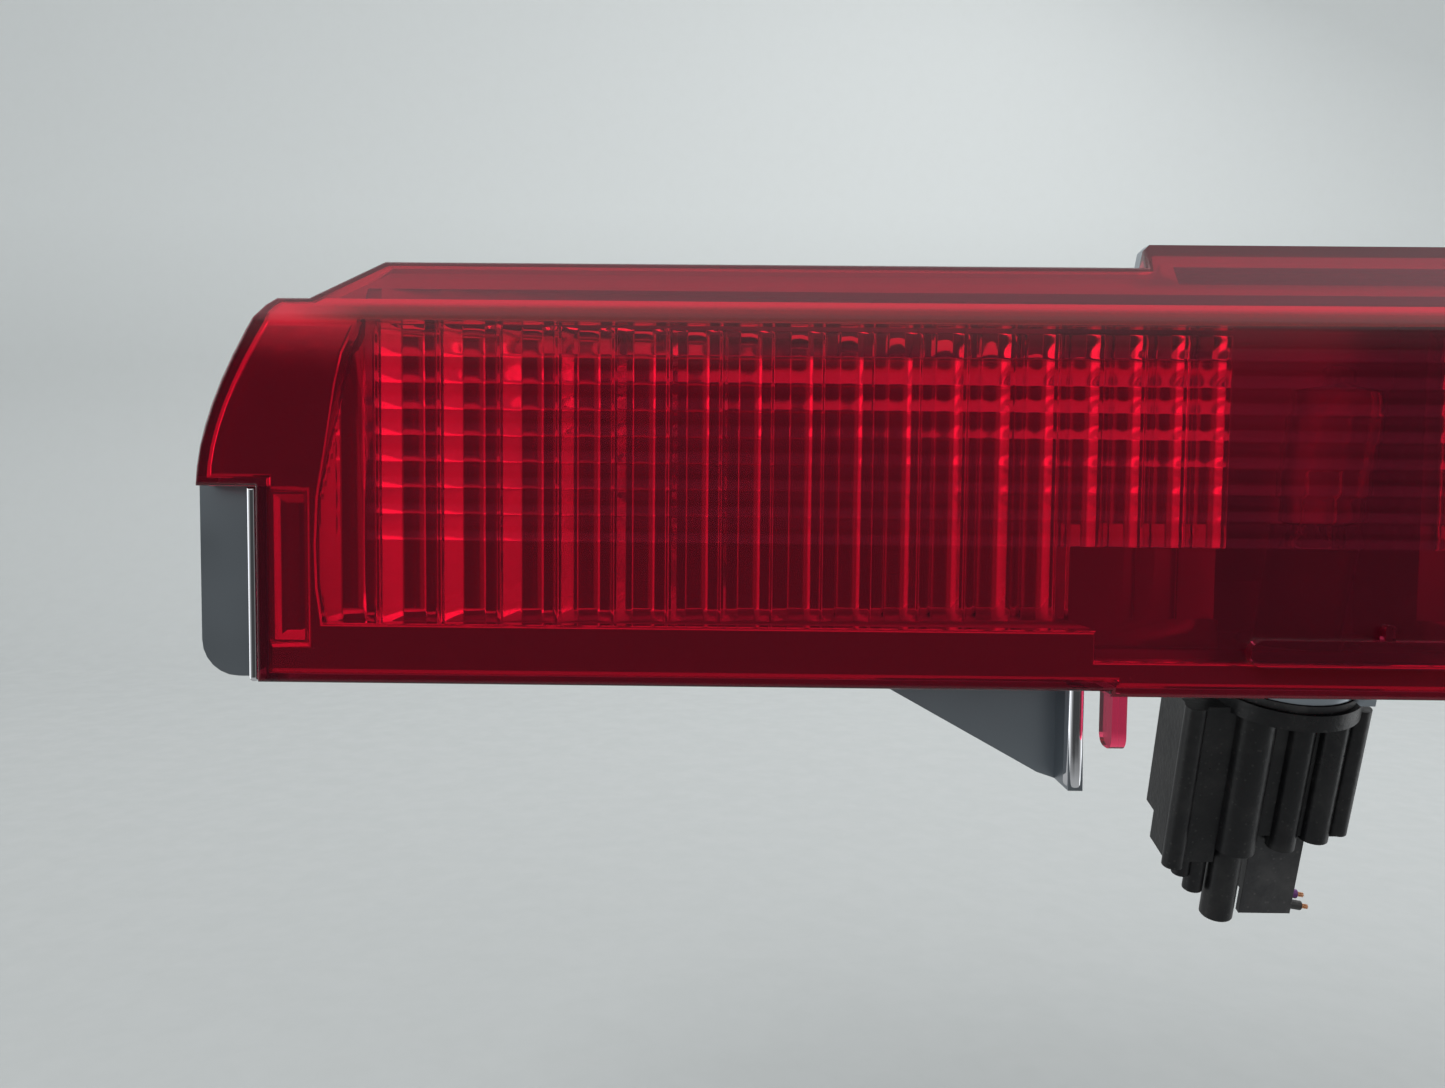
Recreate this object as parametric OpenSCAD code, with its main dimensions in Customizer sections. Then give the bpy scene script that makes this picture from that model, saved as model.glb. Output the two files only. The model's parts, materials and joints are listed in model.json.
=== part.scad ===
// High-mounted third brake light: red lens, mirrored reflector housing, wedge bulb,
// pull-out bulb holder with its plug, and the fixings on the back.
// X runs along the lamp, Y from the lens into the car, Z up. Y = 0 is the plane that seats
// against the car body, and the origin is midway between the two threaded inserts.

/* [Lens] */
// Length of the lens from end to end
lens_l = 380; // [330:1:460]
// Height of the lens's long top edge above the origin
lens_top = 35; // [32:0.5:42]
// Depth of the lens's bottom edge below the origin
lens_low = 34; // [33:0.5:42]
// Distance of the lens's front face ahead of the seating plane
lens_front = 24; // [23:0.5:28]
// Wall thickness of the lens
lens_wall = 2.6; // [2:0.1:3]
// Depth of the lens's skirt, front face to welded rim
skirt_depth = 13; // [11:0.5:13.5]
// Height of the sloping band along the top of the lens
bevel_h = 10.5; // [8:0.5:12]
// How far the sloping band leans back
bevel_d = 9; // [7:0.5:9]
// Width of the raised centre of the top edge
crown_w = 71; // [60:1:100]
// Height of the raised centre over the long top edge
crown_h = 4.4; // [3:0.2:6]
// Width of the corner notch at each end of the lens
notch_w = 9.6; // [7:0.2:12]
// Level of the notch's top edge
notch_z = -2.4; // [-6:0.2:2]
// Number of optic rows moulded inside the front face
optic_rows = 8; // [4:1:10]
// Level at which the optic rows end and the clear band starts
clear_z = -11; // [-14:0.5:-8]

/* [Housing] */
// Wall thickness of the housing
wall = 2; // [1.6:0.1:2.4]
// Depth of the mirrored face plate behind the lens's front face
face_gap = 6; // [5:0.5:7]
// Depth of the reflector behind the lens's front face at the lamp's middle
bowl_depth = 22; // [19:0.5:22]
// Number of vertical flutes on each side of the reflector
flutes = 18; // [12:1:24]
// Height of a flute's step
flute_step = 1.5; // [0.8:0.1:2]
// Width of the bulb chamber at the lamp's middle
chamber_w = 36; // [34:1:40]
// Depth of the bottom edge of the bowl below the origin
bowl_low = 24.5; // [22:0.5:26]
// Reach of the triangular feet below the lens
foot_drop = 17.5; // [12:0.5:22]

/* [Fixings] */
// Distance between the two threaded inserts
insert_spacing = 280; // [260:1:300]
// Radius of an insert's bore, tapped M5
insert_bore_r = 2.1; // [1.6:0.1:2.6]
// Outer radius of an insert
insert_r = 3.4; // [3.2:0.1:4]
// Length of an insert
insert_l = 8; // [6:0.5:9]
// Distance between the two spring clips
clip_spacing = 220; // [200:1:236]
// Thickness of the foam gasket
gasket_t = 3; // [2:0.5:5]

/* [Bulb] */
// Diameter of the bulb's glass
bulb_d = 15; // [13:0.2:17]
// Length of the bulb over all
bulb_l = 38; // [34:0.5:40]
// Width of the bulb's flat base
wedge_w = 9.6; // [9:0.1:10.5]
// Length of the bulb's flat base
wedge_l = 9; // [8:0.5:10]

/* [Bulb holder] */
// Angle by which the bulb's axis leans back at its lower end
tilt = 15; // [12:0.5:17]
// Radius of the bore of the housing's neck
neck_bore_r = 10.25; // [9.8:0.05:11.5]
// Radial running clearance of the holder's spigot in the neck
spigot_gap = 0.06; // [0.02:0.01:0.09]
// Height of the holder's collar above the neck's rim
collar_h = 27.5; // [24:0.5:30]
// Front-to-back depth of the holder's ribbed block
block_d = 14; // [13:0.5:17]
// Height of the holder's ribbed block
block_h = 27; // [24:0.5:32]
// Width of the plug
plug_w = 10.2; // [9.6:0.1:11]
// Front-to-back depth of the plug
plug_d = 9; // [8:0.1:9.5]
// Clearance of the plug in its socket
plug_gap = 0.2; // [0.1:0.05:0.4]
// Outside diameter of a wire
wire_d = 1.9; // [1.4:0.1:2.2]

/* [Hidden] */
$fn = 64;
half_l = lens_l / 2;
seat_gap = 0.3;

// Lens outline
shoulder_z = lens_top - 7;
crown_top = lens_top + crown_h;
crease_z = lens_top - bevel_h;
ear_steps = 8;
lip_drop = 0.9;
lip_half = 43;
optic_pitch = (crease_z - clear_z) / optic_rows;
optic_sag = 0.7;
optic_end = half_l - 20;
gate_rib_half = 22;
gate_rib_z = -27.4;
gate_rib_r = 2.2;
gate_rib_out = 2;
gate_r = 0.8;
gate_h = 2.4;
leg_out = 42.7;
leg_t = 2.4;
leg_low = lens_low + 9.7;
leg_d = 6.5;

// Housing levels, measured from the seating plane
face_y = face_gap - lens_front;
rim_y = skirt_depth - lens_front;
bowl_end = half_l - 18.5;
bowl_end_y = face_y + 2;
bowl_mid_y = bowl_depth - lens_front;
bowl_top = lens_top - lens_wall - wall - 0.9;
// The curve of the bowl's end: how far it lies inside the bowl's full length, and its level
bowl_end_curve = [
    [1, -bowl_low], [0.2, -19], [0, -12], [0.4, -4], [1.8, 4], [3.4, 14], [4.6, 19], [7.4, 25]
];
chamber_half = chamber_w / 2;
chamber_top = bowl_top - 1;
bay_half = 45;
bay_y = -wall - 2;
floor_z = lens_wall + wall - lens_low;
tab_out = 2;
tab_r = 6;
pocket_rise = 2.4;
pocket_w = 3.8;
pocket_low = -27;
web_in = 48;
web_l = 31;
web_t = 2.2;
foot_wall_in = 45.6;
foot_wall_y = rim_y - 8;
boss_r = insert_r + 2.2;
vent_x = 62;
vent_z = 12;
vent_r = 4;
vent_bore_r = 2.2;
vent_end = 6;

// Clips
clip_t = 0.8;
clip_w = 9;
clip_base = 8;
clip_z = 12;
clip_pad_y = -1.6;
clip_base_y = clip_pad_y + seat_gap;
clip_shoulder = 5.5;
clip_l = 11;
clip_pin_r = 1.5;
clip_pin_x = clip_base - 3.2;

// The bulb's own frame: its origin is the middle of the neck's rim, with the axis as +Z
neck_y = 6.5;
neck_z = -lens_low - 2.5;
neck_r = neck_bore_r + 1.75;
neck_h = 12;
key_x = 7.6;
key_w = 2.6;
key_h = 8;
spigot_r = neck_bore_r - spigot_gap;
spigot_h = 6;
flange_r = neck_r + 1.2;
flange_t = 2.2;
seal_t = 1.4;
seal_gap = 0.1;
block_top = -seal_gap - seal_t - flange_t;
collar_r = 7.3;
block_left = -20;
block_right = 14;
block_front = 1.4 - block_d / 2;
block_low = block_top - block_h;
rib_y = block_front + 0.6;
// Each rib of the block: its place, its radius and how far it hangs below the block's top
ribs = [[-18, 2, 34], [-6.8, 3.8, 30], [2, 2.6, 29.5], [7.9, 2.7, 27.6], [12, 2, 26.2]];
lobes = [[-15, 1.7, 37.5], [-12.2, 1.9, 41]];
post_x = -6.9;
post_r = 3.1;
post_low = block_low - 19.5;
socket_h = 15;
plug_x = 2.7;
plug_y = 1.6;
plug_top = block_low + socket_h - 1;
plug_low = block_low - 14.5;
plug_skirt_low = plug_low - 5;
plug_skirt_t = 1.4;
pole_pitch = 5;
pole_x = [plug_x - pole_pitch / 2, plug_x + pole_pitch / 2];
contact_x = 2.5;
contact_t = 0.4;
contact_w = 3;
blade_w = 2;
blade_t = 0.6;
blade_low = plug_top - 10;
wedge_t = 2.4;
lead_t = 0.3;
lead_w = 0.6;
wedge_low = collar_h + seat_gap - wedge_l;
slot_w = wedge_w + 0.8;
slot_d = 6;
slot_gap = 1.2;
glass_t = 0.7;
bulb_r = bulb_d / 2;
pinch_r = 5.3;
bulb_top = wedge_low + bulb_l;
filament_z = wedge_low + wedge_l + 11;
filament_half = 2.6;
filament_r = 0.45;
support_r = 0.3;
seal_r = 2.2;
seal_bore_gap = 0.03;
terminal_w = 2.7;
terminal_d = 2.4;
terminal_low = plug_low + 5.5;
barrel_r = 1.1;
strand_r = 0.15;
strand_l = 1.5;
strand_ring_r = 0.36;
wire_bend = 3;
wire_turn = 80;
wire_end_x = 12.2;
purple_drop = 0.5;
purple_lean = wire_d + 0.3;
black_drop = 2.6;

// ---- shared outlines ----

// Both halves of an outline from its left half, which runs from bottom middle to top middle
function both_halves(half) = concat(
    half,
    [for (i = [len(half) - 1:-1:0]) if (half[i][0] < 0) [-half[i][0], half[i][1]]]
);

// Point at t on the lens's curved end, from the notch up to the shoulder
function ear_point(t) = [
    -half_l + 0.6 * t * (1 - t) + 10.9 * t * t,
    2 * (notch_z + 11.9) * t * (1 - t) + notch_z * (1 - t) * (1 - t) + (shoulder_z - 1.3) * t * t
];

// The lens's outline, drawn in by m, which is no more than its wall
function lens_outline(m) = both_halves(concat(
    [
        [0, m - lens_low - lip_drop],
        [-lip_half + m, m - lens_low - lip_drop],
        [-lip_half + m, m - lens_low],
        [m - half_l + notch_w, m - lens_low],
        [m - half_l + notch_w, m + notch_z],
        [m - half_l, m + notch_z]
    ],
    [for (i = [1:ear_steps]) ear_point(i / ear_steps) + m * [0.95, 0.3 - 0.9 * i / ear_steps]],
    [
        [m * 0.5 - half_l + 12.4, shoulder_z - m],
        [m * 0.2 - half_l + 17.6, shoulder_z - m],
        [m * 0.35 - half_l + 28, lens_top - m],
        [m - crown_w / 2 - 0.6, lens_top - m],
        [m - crown_w / 2, crown_top - 1 - m],
        [m - crown_w / 2 + 1, crown_top - m],
        [0, crown_top - m]
    ]
));

// The same outline with plain corners, for openings that lie further in
function plain_outline(m) = both_halves([
    [0, m - lens_low],
    [m - half_l + notch_w, m - lens_low],
    [m - half_l + notch_w, m + notch_z],
    [m - half_l, m + notch_z],
    [0.92 * m - half_l + 2.9, (shoulder_z + notch_z) / 2 - 0.3 * m],
    [0.62 * m - half_l + 12, shoulder_z - m],
    [0.3 * m - half_l + 17.6, shoulder_z - m],
    [0.3 * m - half_l + 28, lens_top - m],
    [m - crown_w / 2, lens_top - m],
    [m - crown_w / 2, crown_top - m],
    [0, crown_top - m]
]);

// The lens's section across its length, drawn in by m: front face, sloping band, rear edge
function lens_section(m, rear) = let (
    lean = atan(bevel_d / bevel_h),
    z0 = crease_z - m * tan(lean / 2),
    rise = crown_top + 4 - z0
) [
    [-lens_front + m, -lens_low - 20],
    [-lens_front + m, z0],
    [-lens_front + m + rise * tan(lean), z0 + rise],
    [rear, z0 + rise],
    [rear, -lens_low - 20]
];

// Depth of the reflector at x, without its flutes
function bowl_y(x) = let (
    share = (bowl_end - abs(x)) / (bowl_end - chamber_half)
) bowl_end_y + (bowl_mid_y - bowl_end_y) * min(1, share);

// Place of flute i, counted outwards from the chamber
function flute_x(i) = let (
    share = i / flutes
) chamber_half + (bowl_end - chamber_half) * (0.86 * share + 0.14 * share * share);

// A plate with the given outline in X and Z, between two depths
module plate(outline, y0, y1) {
    translate([0, y1, 0]) rotate([90, 0, 0]) linear_extrude(y1 - y0) polygon(outline);
}

// A frame between two outlines
module frame(outer, inner, y0, y1) {
    difference() {
        plate(outer, y0, y1);
        plate(inner, y0 - 1, y1 + 1);
    }
}

// A bar along X with the given section in Y and Z
module bar(section, x0, x1) {
    translate([x0, 0, 0]) rotate([90, 0, 90]) linear_extrude(x1 - x0) polygon(section);
}

// A box between two corners
module block(low, high) {
    translate(low) cube(high - low);
}

// A round rod along Y
module rod_y(x, z, r, y0, y1) {
    translate([x, y1, z]) rotate([90, 0, 0]) cylinder(r = r, h = y1 - y0);
}

// A round rod along Z
module rod_z(x, y, r, z0, z1) {
    translate([x, y, z0]) cylinder(r = r, h = z1 - z0);
}

// Puts its children in the bulb's own frame
module on_bulb_axis() {
    translate([0, neck_y, neck_z]) rotate([tilt, 0, 0]) children();
}

module both_sides() {
    children();
    mirror([1, 0, 0]) children();
}

// ---- lens ----

// Half-round rows on the inside of the front face
module optics() {
    inner_y = lens_wall - lens_front;
    steps = 6;
    rows = [for (k = [0:optic_rows - 1]) for (i = [0:steps - 1]) [
        inner_y + optic_sag * sin(180 * i / steps),
        clear_z + optic_pitch * (k + i / steps)
    ]];
    top_z = crease_z - 1.6;
    section = concat([[inner_y - 1, clear_z]], rows, [[inner_y, top_z], [inner_y - 1, top_z]]);
    intersection() {
        bar(section, -optic_end, optic_end);
        bar(lens_section(lens_wall / 2, 0), -optic_end - 1, optic_end + 1);
    }
}

module gate_rib() {
    front = -lens_front - gate_rib_out;
    rear = 1 - lens_front;
    both_sides() rod_y(gate_rib_half, gate_rib_z, gate_rib_r, front, rear);
    block(
        [-gate_rib_half, front, gate_rib_z - gate_rib_r],
        [gate_rib_half, rear, gate_rib_z + gate_rib_r]
    );
    rod_z(0, -lens_front - gate_rib_out / 2, gate_r, gate_rib_z, gate_rib_z + gate_rib_r + gate_h);
}

module lens_leg() {
    round_r = leg_t;
    translate([-leg_out, -lens_front, -leg_low]) {
        block([0, 0, round_r], [leg_t, leg_d, leg_low + 1 - lens_low]);
        block([0, round_r, 0], [leg_t, leg_d - round_r, 1 + round_r]);
        for (y = [round_r, leg_d - round_r]) {
            translate([0, y, round_r]) rotate([0, 90, 0]) cylinder(r = round_r, h = leg_t);
        }
    }
}

module lens() {
    color("crimson") {
        difference() {
            intersection() {
                plate(lens_outline(0), -lens_front - 1, rim_y);
                bar(lens_section(0, 1), -half_l - 1, half_l + 1);
            }
            intersection() {
                plate(lens_outline(lens_wall), -lens_front, rim_y + 1);
                bar(lens_section(lens_wall, 1), -half_l, half_l);
            }
        }
        optics();
        gate_rib();
        both_sides() lens_leg();
    }
}

// ---- housing ----

// Outline in X and Y of the space in front of the fluted reflector; d thickens it to the outside
function bowl_plan(d, stepped) = let (
    left = [for (i = [0:flutes]) let (
        x = flute_x(flutes - i),
        step = stepped && i > 0 ? flute_step : 0
    ) [[-x - (i == 0 ? d : 0), bowl_y(x) + d], [-x, bowl_y(x) + d - step]]],
    half = [for (pair = left) for (p = pair) p]
) concat(
    [[-bowl_end - d, face_y - 1]],
    half,
    [[-chamber_half + 1, bowl_mid_y + d]],
    [[chamber_half - 1, bowl_mid_y + d]],
    [for (i = [len(half) - 1:-1:0]) [-half[i][0], half[i][1]]],
    [[bowl_end + d, face_y - 1]]
);

// Outline in X and Z of the reflector's bowl, with its curved ends, drawn out by d
function bowl_outline(d) = both_halves(concat(
    [[0, -bowl_low - d]],
    [for (p = bowl_end_curve) [p[0] - bowl_end - d, p[1] - (p[1] < clear_z ? d : 0)]],
    [[bowl_end_curve[len(bowl_end_curve) - 1][0] - bowl_end - d, bowl_top + d], [0, bowl_top + d]]
));

module bowl_space(d, stepped) {
    intersection() {
        translate([0, 0, -bowl_low - d - 1]) linear_extrude(bowl_top + bowl_low + 2 * d + 2) {
            polygon(bowl_plan(d, stepped));
        }
        plate(bowl_outline(d), face_y - 2, neck_y);
    }
}

// The space round the bulb; its rear wall runs beside the bulb's axis
module chamber_space(d) {
    low_y = neck_y + neck_bore_r + d + 1.4;
    high_y = low_y - (chamber_top - floor_z) * tan(tilt) + 3;
    section = [
        [face_y, floor_z - d], [low_y, floor_z - d], [low_y, floor_z + 10],
        [high_y, chamber_top + d], [face_y, chamber_top + d]
    ];
    bar(section, -chamber_half - d, chamber_half + d);
}

// The dark space below the bulb, behind the clear band
module bay_space(d) {
    block([-bay_half - d, face_y - 1 + d, floor_z - d], [bay_half + d, bay_y + d, clear_z + d]);
}

module housing_neck() {
    on_bulb_axis() {
        rod_z(0, 0, neck_r, 0, neck_h);
        block([key_x, -neck_r, 0], [key_x + key_w, -neck_r / 2, key_h]);
    }
}

// The mirrored corner tab that fills the lens's notch
module corner_tab() {
    out = -half_l - tab_out;
    in = notch_w - half_l;
    low = -lens_low;
    arc = [for (a = [180:15:270]) [out + tab_r + tab_r * cos(a), low + tab_r + tab_r * sin(a)]];
    outline = concat([[in, notch_z], [out, notch_z]], arc, [[in, low]]);
    rear = rim_y + 2.5;
    difference() {
        plate(outline, face_y, rear);
        block([out + wall, face_y + wall, low + wall], [in - wall, rear + 1, notch_z - wall]);
    }
    block([in - 1.6, -lens_front + 0.5, low], [in, rear, notch_z]);
    block([in - 1, rim_y, low], [in + lens_wall + wall, rear, notch_z]);
}

// Triangular web with a forward wall beside the lens's leg
module foot() {
    top = lens_wall - lens_low;
    low = -lens_low - foot_drop;
    web = [
        [-web_in - web_l, top], [-web_in - web_l, -lens_low - 1], [-web_in - 3, low + 1],
        [-web_in, low], [-web_in, top]
    ];
    plate(web, rim_y, rim_y + web_t);
    block([-web_in, foot_wall_y, low], [-foot_wall_in, rim_y + web_t, -lens_low]);
    block([-web_in, rim_y, low], [-foot_wall_in, rim_y + web_t, top]);
}

// Stepped frame of the end pocket, behind the lens
module end_pocket() {
    in = lens_wall + notch_w - half_l;
    for (i = [0, 1]) {
        low = [in, face_y - pocket_rise / (i + 1), pocket_low - 1.4 * i];
        block(low, [in + pocket_w + 1.2 * i, face_y + 1, notch_z]);
    }
}

module clip_pad() {
    x = -clip_spacing / 2;
    block(
        [x - clip_base - 1, bowl_y(x - clip_base) + 0.5, clip_z - clip_w / 2 - 1],
        [x + 1.5, clip_pad_y, clip_z + clip_w / 2 + 1]
    );
    rod_y(x - clip_pin_x, clip_z, clip_pin_r, clip_pad_y - 1, clip_base_y + clip_t + 2);
    rod_y(x - clip_pin_x, clip_z, clip_pin_r + 1, clip_base_y + clip_t + 0.9, clip_base_y + clip_t + 2.1);
}

// What lies inside the lens: face plate, skirt, and the outer side of the bowl and chamber
module housing_inside() {
    intersection() {
        union() {
            plate(lens_outline(lens_wall), face_y, face_y + wall);
            frame(lens_outline(lens_wall), plain_outline(lens_wall + wall), face_y, 0);
            bowl_space(wall, false);
            chamber_space(wall);
            bay_space(wall);
        }
        plate(lens_outline(lens_wall), face_y, neck_y + 3 * neck_r);
        bar(lens_section(lens_wall, neck_y + 4 * neck_r), -half_l, half_l);
    }
}

module reflector_housing() {
    x = -insert_spacing / 2;
    color("silver") difference() {
        union() {
            housing_inside();
            frame(lens_outline(0), plain_outline(lens_wall + wall), rim_y, rim_y + 2.5);
            frame(lens_outline(lens_wall), plain_outline(lens_wall + wall + 4), -2.5, 0);
            housing_neck();
            both_sides() {
                corner_tab();
                foot();
                end_pocket();
                clip_pad();
                rod_y(x, 0, boss_r, bowl_y(x) + 0.5, 0);
                block([-half_l + 14, face_y + 1, -1], [x, -1, 1]);
            }
            rod_y(vent_x, vent_z, vent_r, bowl_y(vent_x) + 0.5, vent_end);
        }
        bowl_space(0, true);
        chamber_space(0);
        bay_space(0);
        on_bulb_axis() rod_z(0, 0, neck_bore_r, -1, neck_h + 2);
        both_sides() rod_y(x, 0, insert_r, -insert_l, 1);
        rod_y(vent_x, vent_z, vent_bore_r, bowl_y(vent_x) - 4, vent_end + 1);
    }
}

module body_gasket() {
    gap_half = neck_r + 9;
    color("dimgray") difference() {
        frame(plain_outline(lens_wall + 0.5), plain_outline(lens_wall + wall + 3.6), 0, gasket_t);
        block([-gap_half, -1, -lens_low - 5], [gap_half, gasket_t + 1, floor_z + 12]);
    }
}

module threaded_inserts() {
    color("goldenrod") both_sides() difference() {
        rod_y(-insert_spacing / 2, 0, insert_r, -insert_l, 0);
        rod_y(-insert_spacing / 2, 0, insert_bore_r, -insert_l - 1, 1);
    }
}

module vent_cap() {
    cap_r = vent_r + 0.1 + 1.4;
    top = vent_end + 0.8;
    color("black") difference() {
        rod_y(vent_x, vent_z, cap_r, 1.5, top + 1.4);
        rod_y(vent_x, vent_z, vent_r + 0.1, 0, top);
        for (a = [45:90:315]) {
            translate([vent_x, 0, vent_z]) rotate([0, a, 0]) {
                block([vent_r - 0.6, 0, -1], [cap_r + 1, 3.5, 1]);
            }
        }
    }
}

module vent_membrane() {
    color("white") rod_y(vent_x, vent_z, vent_r - 0.4, vent_end, vent_end + 0.4);
}

// Bent strip with its base on the housing's pad; the left one, seen from above
module mounting_clip() {
    x = -clip_spacing / 2;
    strip = [
        [-clip_base, 0], [-clip_base, clip_t], [-0.7, clip_t], [-2.6, clip_shoulder], [1.1, clip_l],
        [1.1 + clip_t, clip_l], [clip_t - 1.6, clip_shoulder], [0.5, 0]
    ];
    difference() {
        translate([x, clip_base_y, clip_z - clip_w / 2]) linear_extrude(clip_w) polygon(strip);
        rod_y(x - clip_pin_x, clip_z, clip_pin_r + 0.4, clip_base_y - 1, clip_base_y + clip_t + 1);
    }
}

module mounting_clip_left() {
    color("lightsteelblue") mounting_clip();
}

module mounting_clip_right() {
    color("lightsteelblue") mirror([1, 0, 0]) mounting_clip();
}

// ---- bulb holder ----

// Flat strip in the plane of the plug's terminals, round the line from x0 to x1
module blade(x0, x1, z0, z1) {
    block([x0 - blade_w / 2, plug_y - blade_t / 2, z0], [x1 + blade_w / 2, plug_y + blade_t / 2, z1]);
}

module contact(side) {
    x = side * contact_x;
    pole = pole_x[side < 0 ? 0 : 1];
    prong_y = wedge_t / 2 + lead_t + 0.05;
    base_z = wedge_low - slot_gap;
    link_z = block_top - 4;
    outer_y = prong_y + contact_t;
    for (y = [-outer_y, prong_y]) {
        block([x - contact_w / 2, y, base_z], [x + contact_w / 2, y + contact_t, collar_h - 1]);
    }
    block([x - contact_w / 2, -outer_y, base_z], [x + contact_w / 2, outer_y, base_z + contact_t]);
    blade(x, x, link_z, base_z + contact_t);
    blade(min(x, pole), max(x, pole), link_z, link_z + 2);
    blade(pole, pole, blade_low, link_z + 2);
}

module contact_left() {
    color("darkkhaki") on_bulb_axis() contact(-1);
}

module contact_right() {
    color("darkkhaki") on_bulb_axis() contact(1);
}

module holder_body() {
    rod_z(0, 0, collar_r, spigot_h - 1, collar_h);
    rod_z(0, 0, spigot_r, block_top, spigot_h);
    rod_z(0, 0, flange_r, block_top - 1, block_top + flange_t);
    block([block_left + 0.4, block_front, block_low], [block_right - 0.4, block_d / 2, block_top]);
    block([block_left + 0.4, block_front, block_top - 33], [-10.6, block_d / 2 - 4, block_low + 1]);
    for (rib = ribs) rod_z(rib[0], rib_y, rib[1], block_top - rib[2], block_top);
    for (lobe = lobes) rod_z(lobe[0], rib_y + 2.6, lobe[1], block_top - lobe[2], block_low + 2);
    rod_z(post_x, rib_y + 2.2, post_r, post_low, block_low + 2);
}

module plug_outline(gap, z0, z1) {
    block(
        [plug_x - plug_w / 2 - gap, plug_y - plug_d / 2 - gap, z0],
        [plug_x + plug_w / 2 + gap, plug_y + plug_d / 2 + gap, z1]
    );
}

module bulb_holder() {
    color("black") on_bulb_axis() difference() {
        holder_body();
        block([-slot_w / 2, -slot_d / 2, wedge_low - slot_gap], [slot_w / 2, slot_d / 2, collar_h + 1]);
        plug_outline(plug_gap, block_low - 25, block_low + socket_h);
        contact(-1);
        contact(1);
    }
}

module holder_seal() {
    color("darkslategray") on_bulb_axis() difference() {
        rod_z(0, 0, neck_r + 0.3, -seal_gap - seal_t, -seal_gap);
        rod_z(0, 0, spigot_r, -seal_gap - seal_t - 1, 1);
    }
}

// ---- bulb ----

// Half section of the bulb's glass, drawn in by m
function glass_profile(m) = let (
    r = bulb_r - m,
    foot = wedge_low + wedge_l,
    dome = bulb_top - bulb_r
) concat(
    [[0, foot + m], [pinch_r - 0.7 - m, foot + m], [pinch_r - m, foot + 2]],
    [for (i = [1:6]) [pinch_r - m + (bulb_r - pinch_r) * sin(15 * i), foot + 2 + 1.2 * i]],
    [[r, dome]],
    [for (a = [10:10:80]) [r * cos(a), dome + r * sin(a)]],
    [[0, dome + r]]
);

module bulb_glass() {
    color("whitesmoke") on_bulb_axis() {
        difference() {
            rotate_extrude() polygon(glass_profile(0));
            rotate_extrude() polygon(glass_profile(glass_t));
        }
        block(
            [-wedge_w / 2, -wedge_t / 2, wedge_low],
            [wedge_w / 2, wedge_t / 2, wedge_low + wedge_l + 0.2]
        );
    }
}

module bulb_filament() {
    color("gray") on_bulb_axis() translate([-filament_half, 0, filament_z]) rotate([0, 90, 0]) {
        cylinder(r = filament_r, h = 2 * filament_half);
    }
}

module bulb_supports() {
    low = wedge_low + wedge_l + glass_t;
    color("silver") on_bulb_axis() for (s = [-1, 1]) {
        rod_z(s * (filament_half + support_r), 0, support_r, low, filament_z + 2 * support_r);
    }
}

module bulb_lead_wires() {
    low = wedge_low + 1;
    top = wedge_low + wedge_l - 1;
    color("gray") on_bulb_axis() for (x = [-contact_x, contact_x]) {
        for (y = [-wedge_t / 2 - lead_t, wedge_t / 2]) {
            block([x - lead_w / 2, y, low], [x + lead_w / 2, y + lead_t, top]);
        }
    }
}

// ---- plug and wires ----

module terminal_space(gap) {
    for (x = pole_x) {
        block(
            [x - terminal_w / 2 - gap, plug_y - terminal_d / 2 - gap, terminal_low - 2],
            [x + terminal_w / 2 + gap, plug_y + terminal_d / 2 + gap, plug_top + 1]
        );
    }
}

module plug_housing() {
    color("black") on_bulb_axis() {
        difference() {
            plug_outline(0, plug_low, plug_top);
            terminal_space(0.1);
            for (x = pole_x) rod_z(x, plug_y, seal_r, plug_low - 1, terminal_low - 1);
        }
        block(
            [plug_x - plug_w / 2, plug_y - plug_d / 2, plug_skirt_low],
            [plug_x + plug_w / 2, plug_y - plug_d / 2 + plug_skirt_t, plug_low + 1]
        );
    }
}

module terminal(i) {
    x = pole_x[i];
    top = plug_top - 0.8;
    difference() {
        union() {
            block(
                [x - terminal_w / 2, plug_y - terminal_d / 2, terminal_low],
                [x + terminal_w / 2, plug_y + terminal_d / 2, top]
            );
            rod_z(x, plug_y, barrel_r, terminal_low - 1, terminal_low + 1);
        }
        block(
            [x - blade_w / 2 - 0.1, plug_y - blade_t / 2 - 0.1, blade_low - 1],
            [x + blade_w / 2 + 0.1, plug_y + blade_t / 2 + 0.1, top + 1]
        );
    }
}

module terminal_left() {
    color("gold") on_bulb_axis() terminal(0);
}

module terminal_right() {
    color("gold") on_bulb_axis() terminal(1);
}

module wire_seals() {
    color("steelblue") on_bulb_axis() for (x = pole_x) difference() {
        rod_z(x, plug_y, seal_r, plug_low, terminal_low - 1);
        rod_z(x, plug_y, wire_d / 2 + seal_bore_gap, plug_low - 1, terminal_low);
    }
}

// Points of a wire's way out of the plug: straight down, a bend, and a short run to its cut end
function wire_way(x, drop) = let (
    low = plug_low - drop,
    bend = [for (a = [0:wire_turn / 8:wire_turn]) [x, low] + wire_bend * [1 - cos(a), -sin(a)]],
    last = bend[len(bend) - 1],
    run = wire_end_x - last[0]
) concat([[x, terminal_low - 1]], bend, [last + run * [1, -1 / tan(wire_turn)]]);

// Direction of a flat path at its point i
function way_at(path, i) = let (
    step = path[min(i + 1, len(path) - 1)] - path[max(i - 1, 0)]
) step / norm(step);

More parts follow.
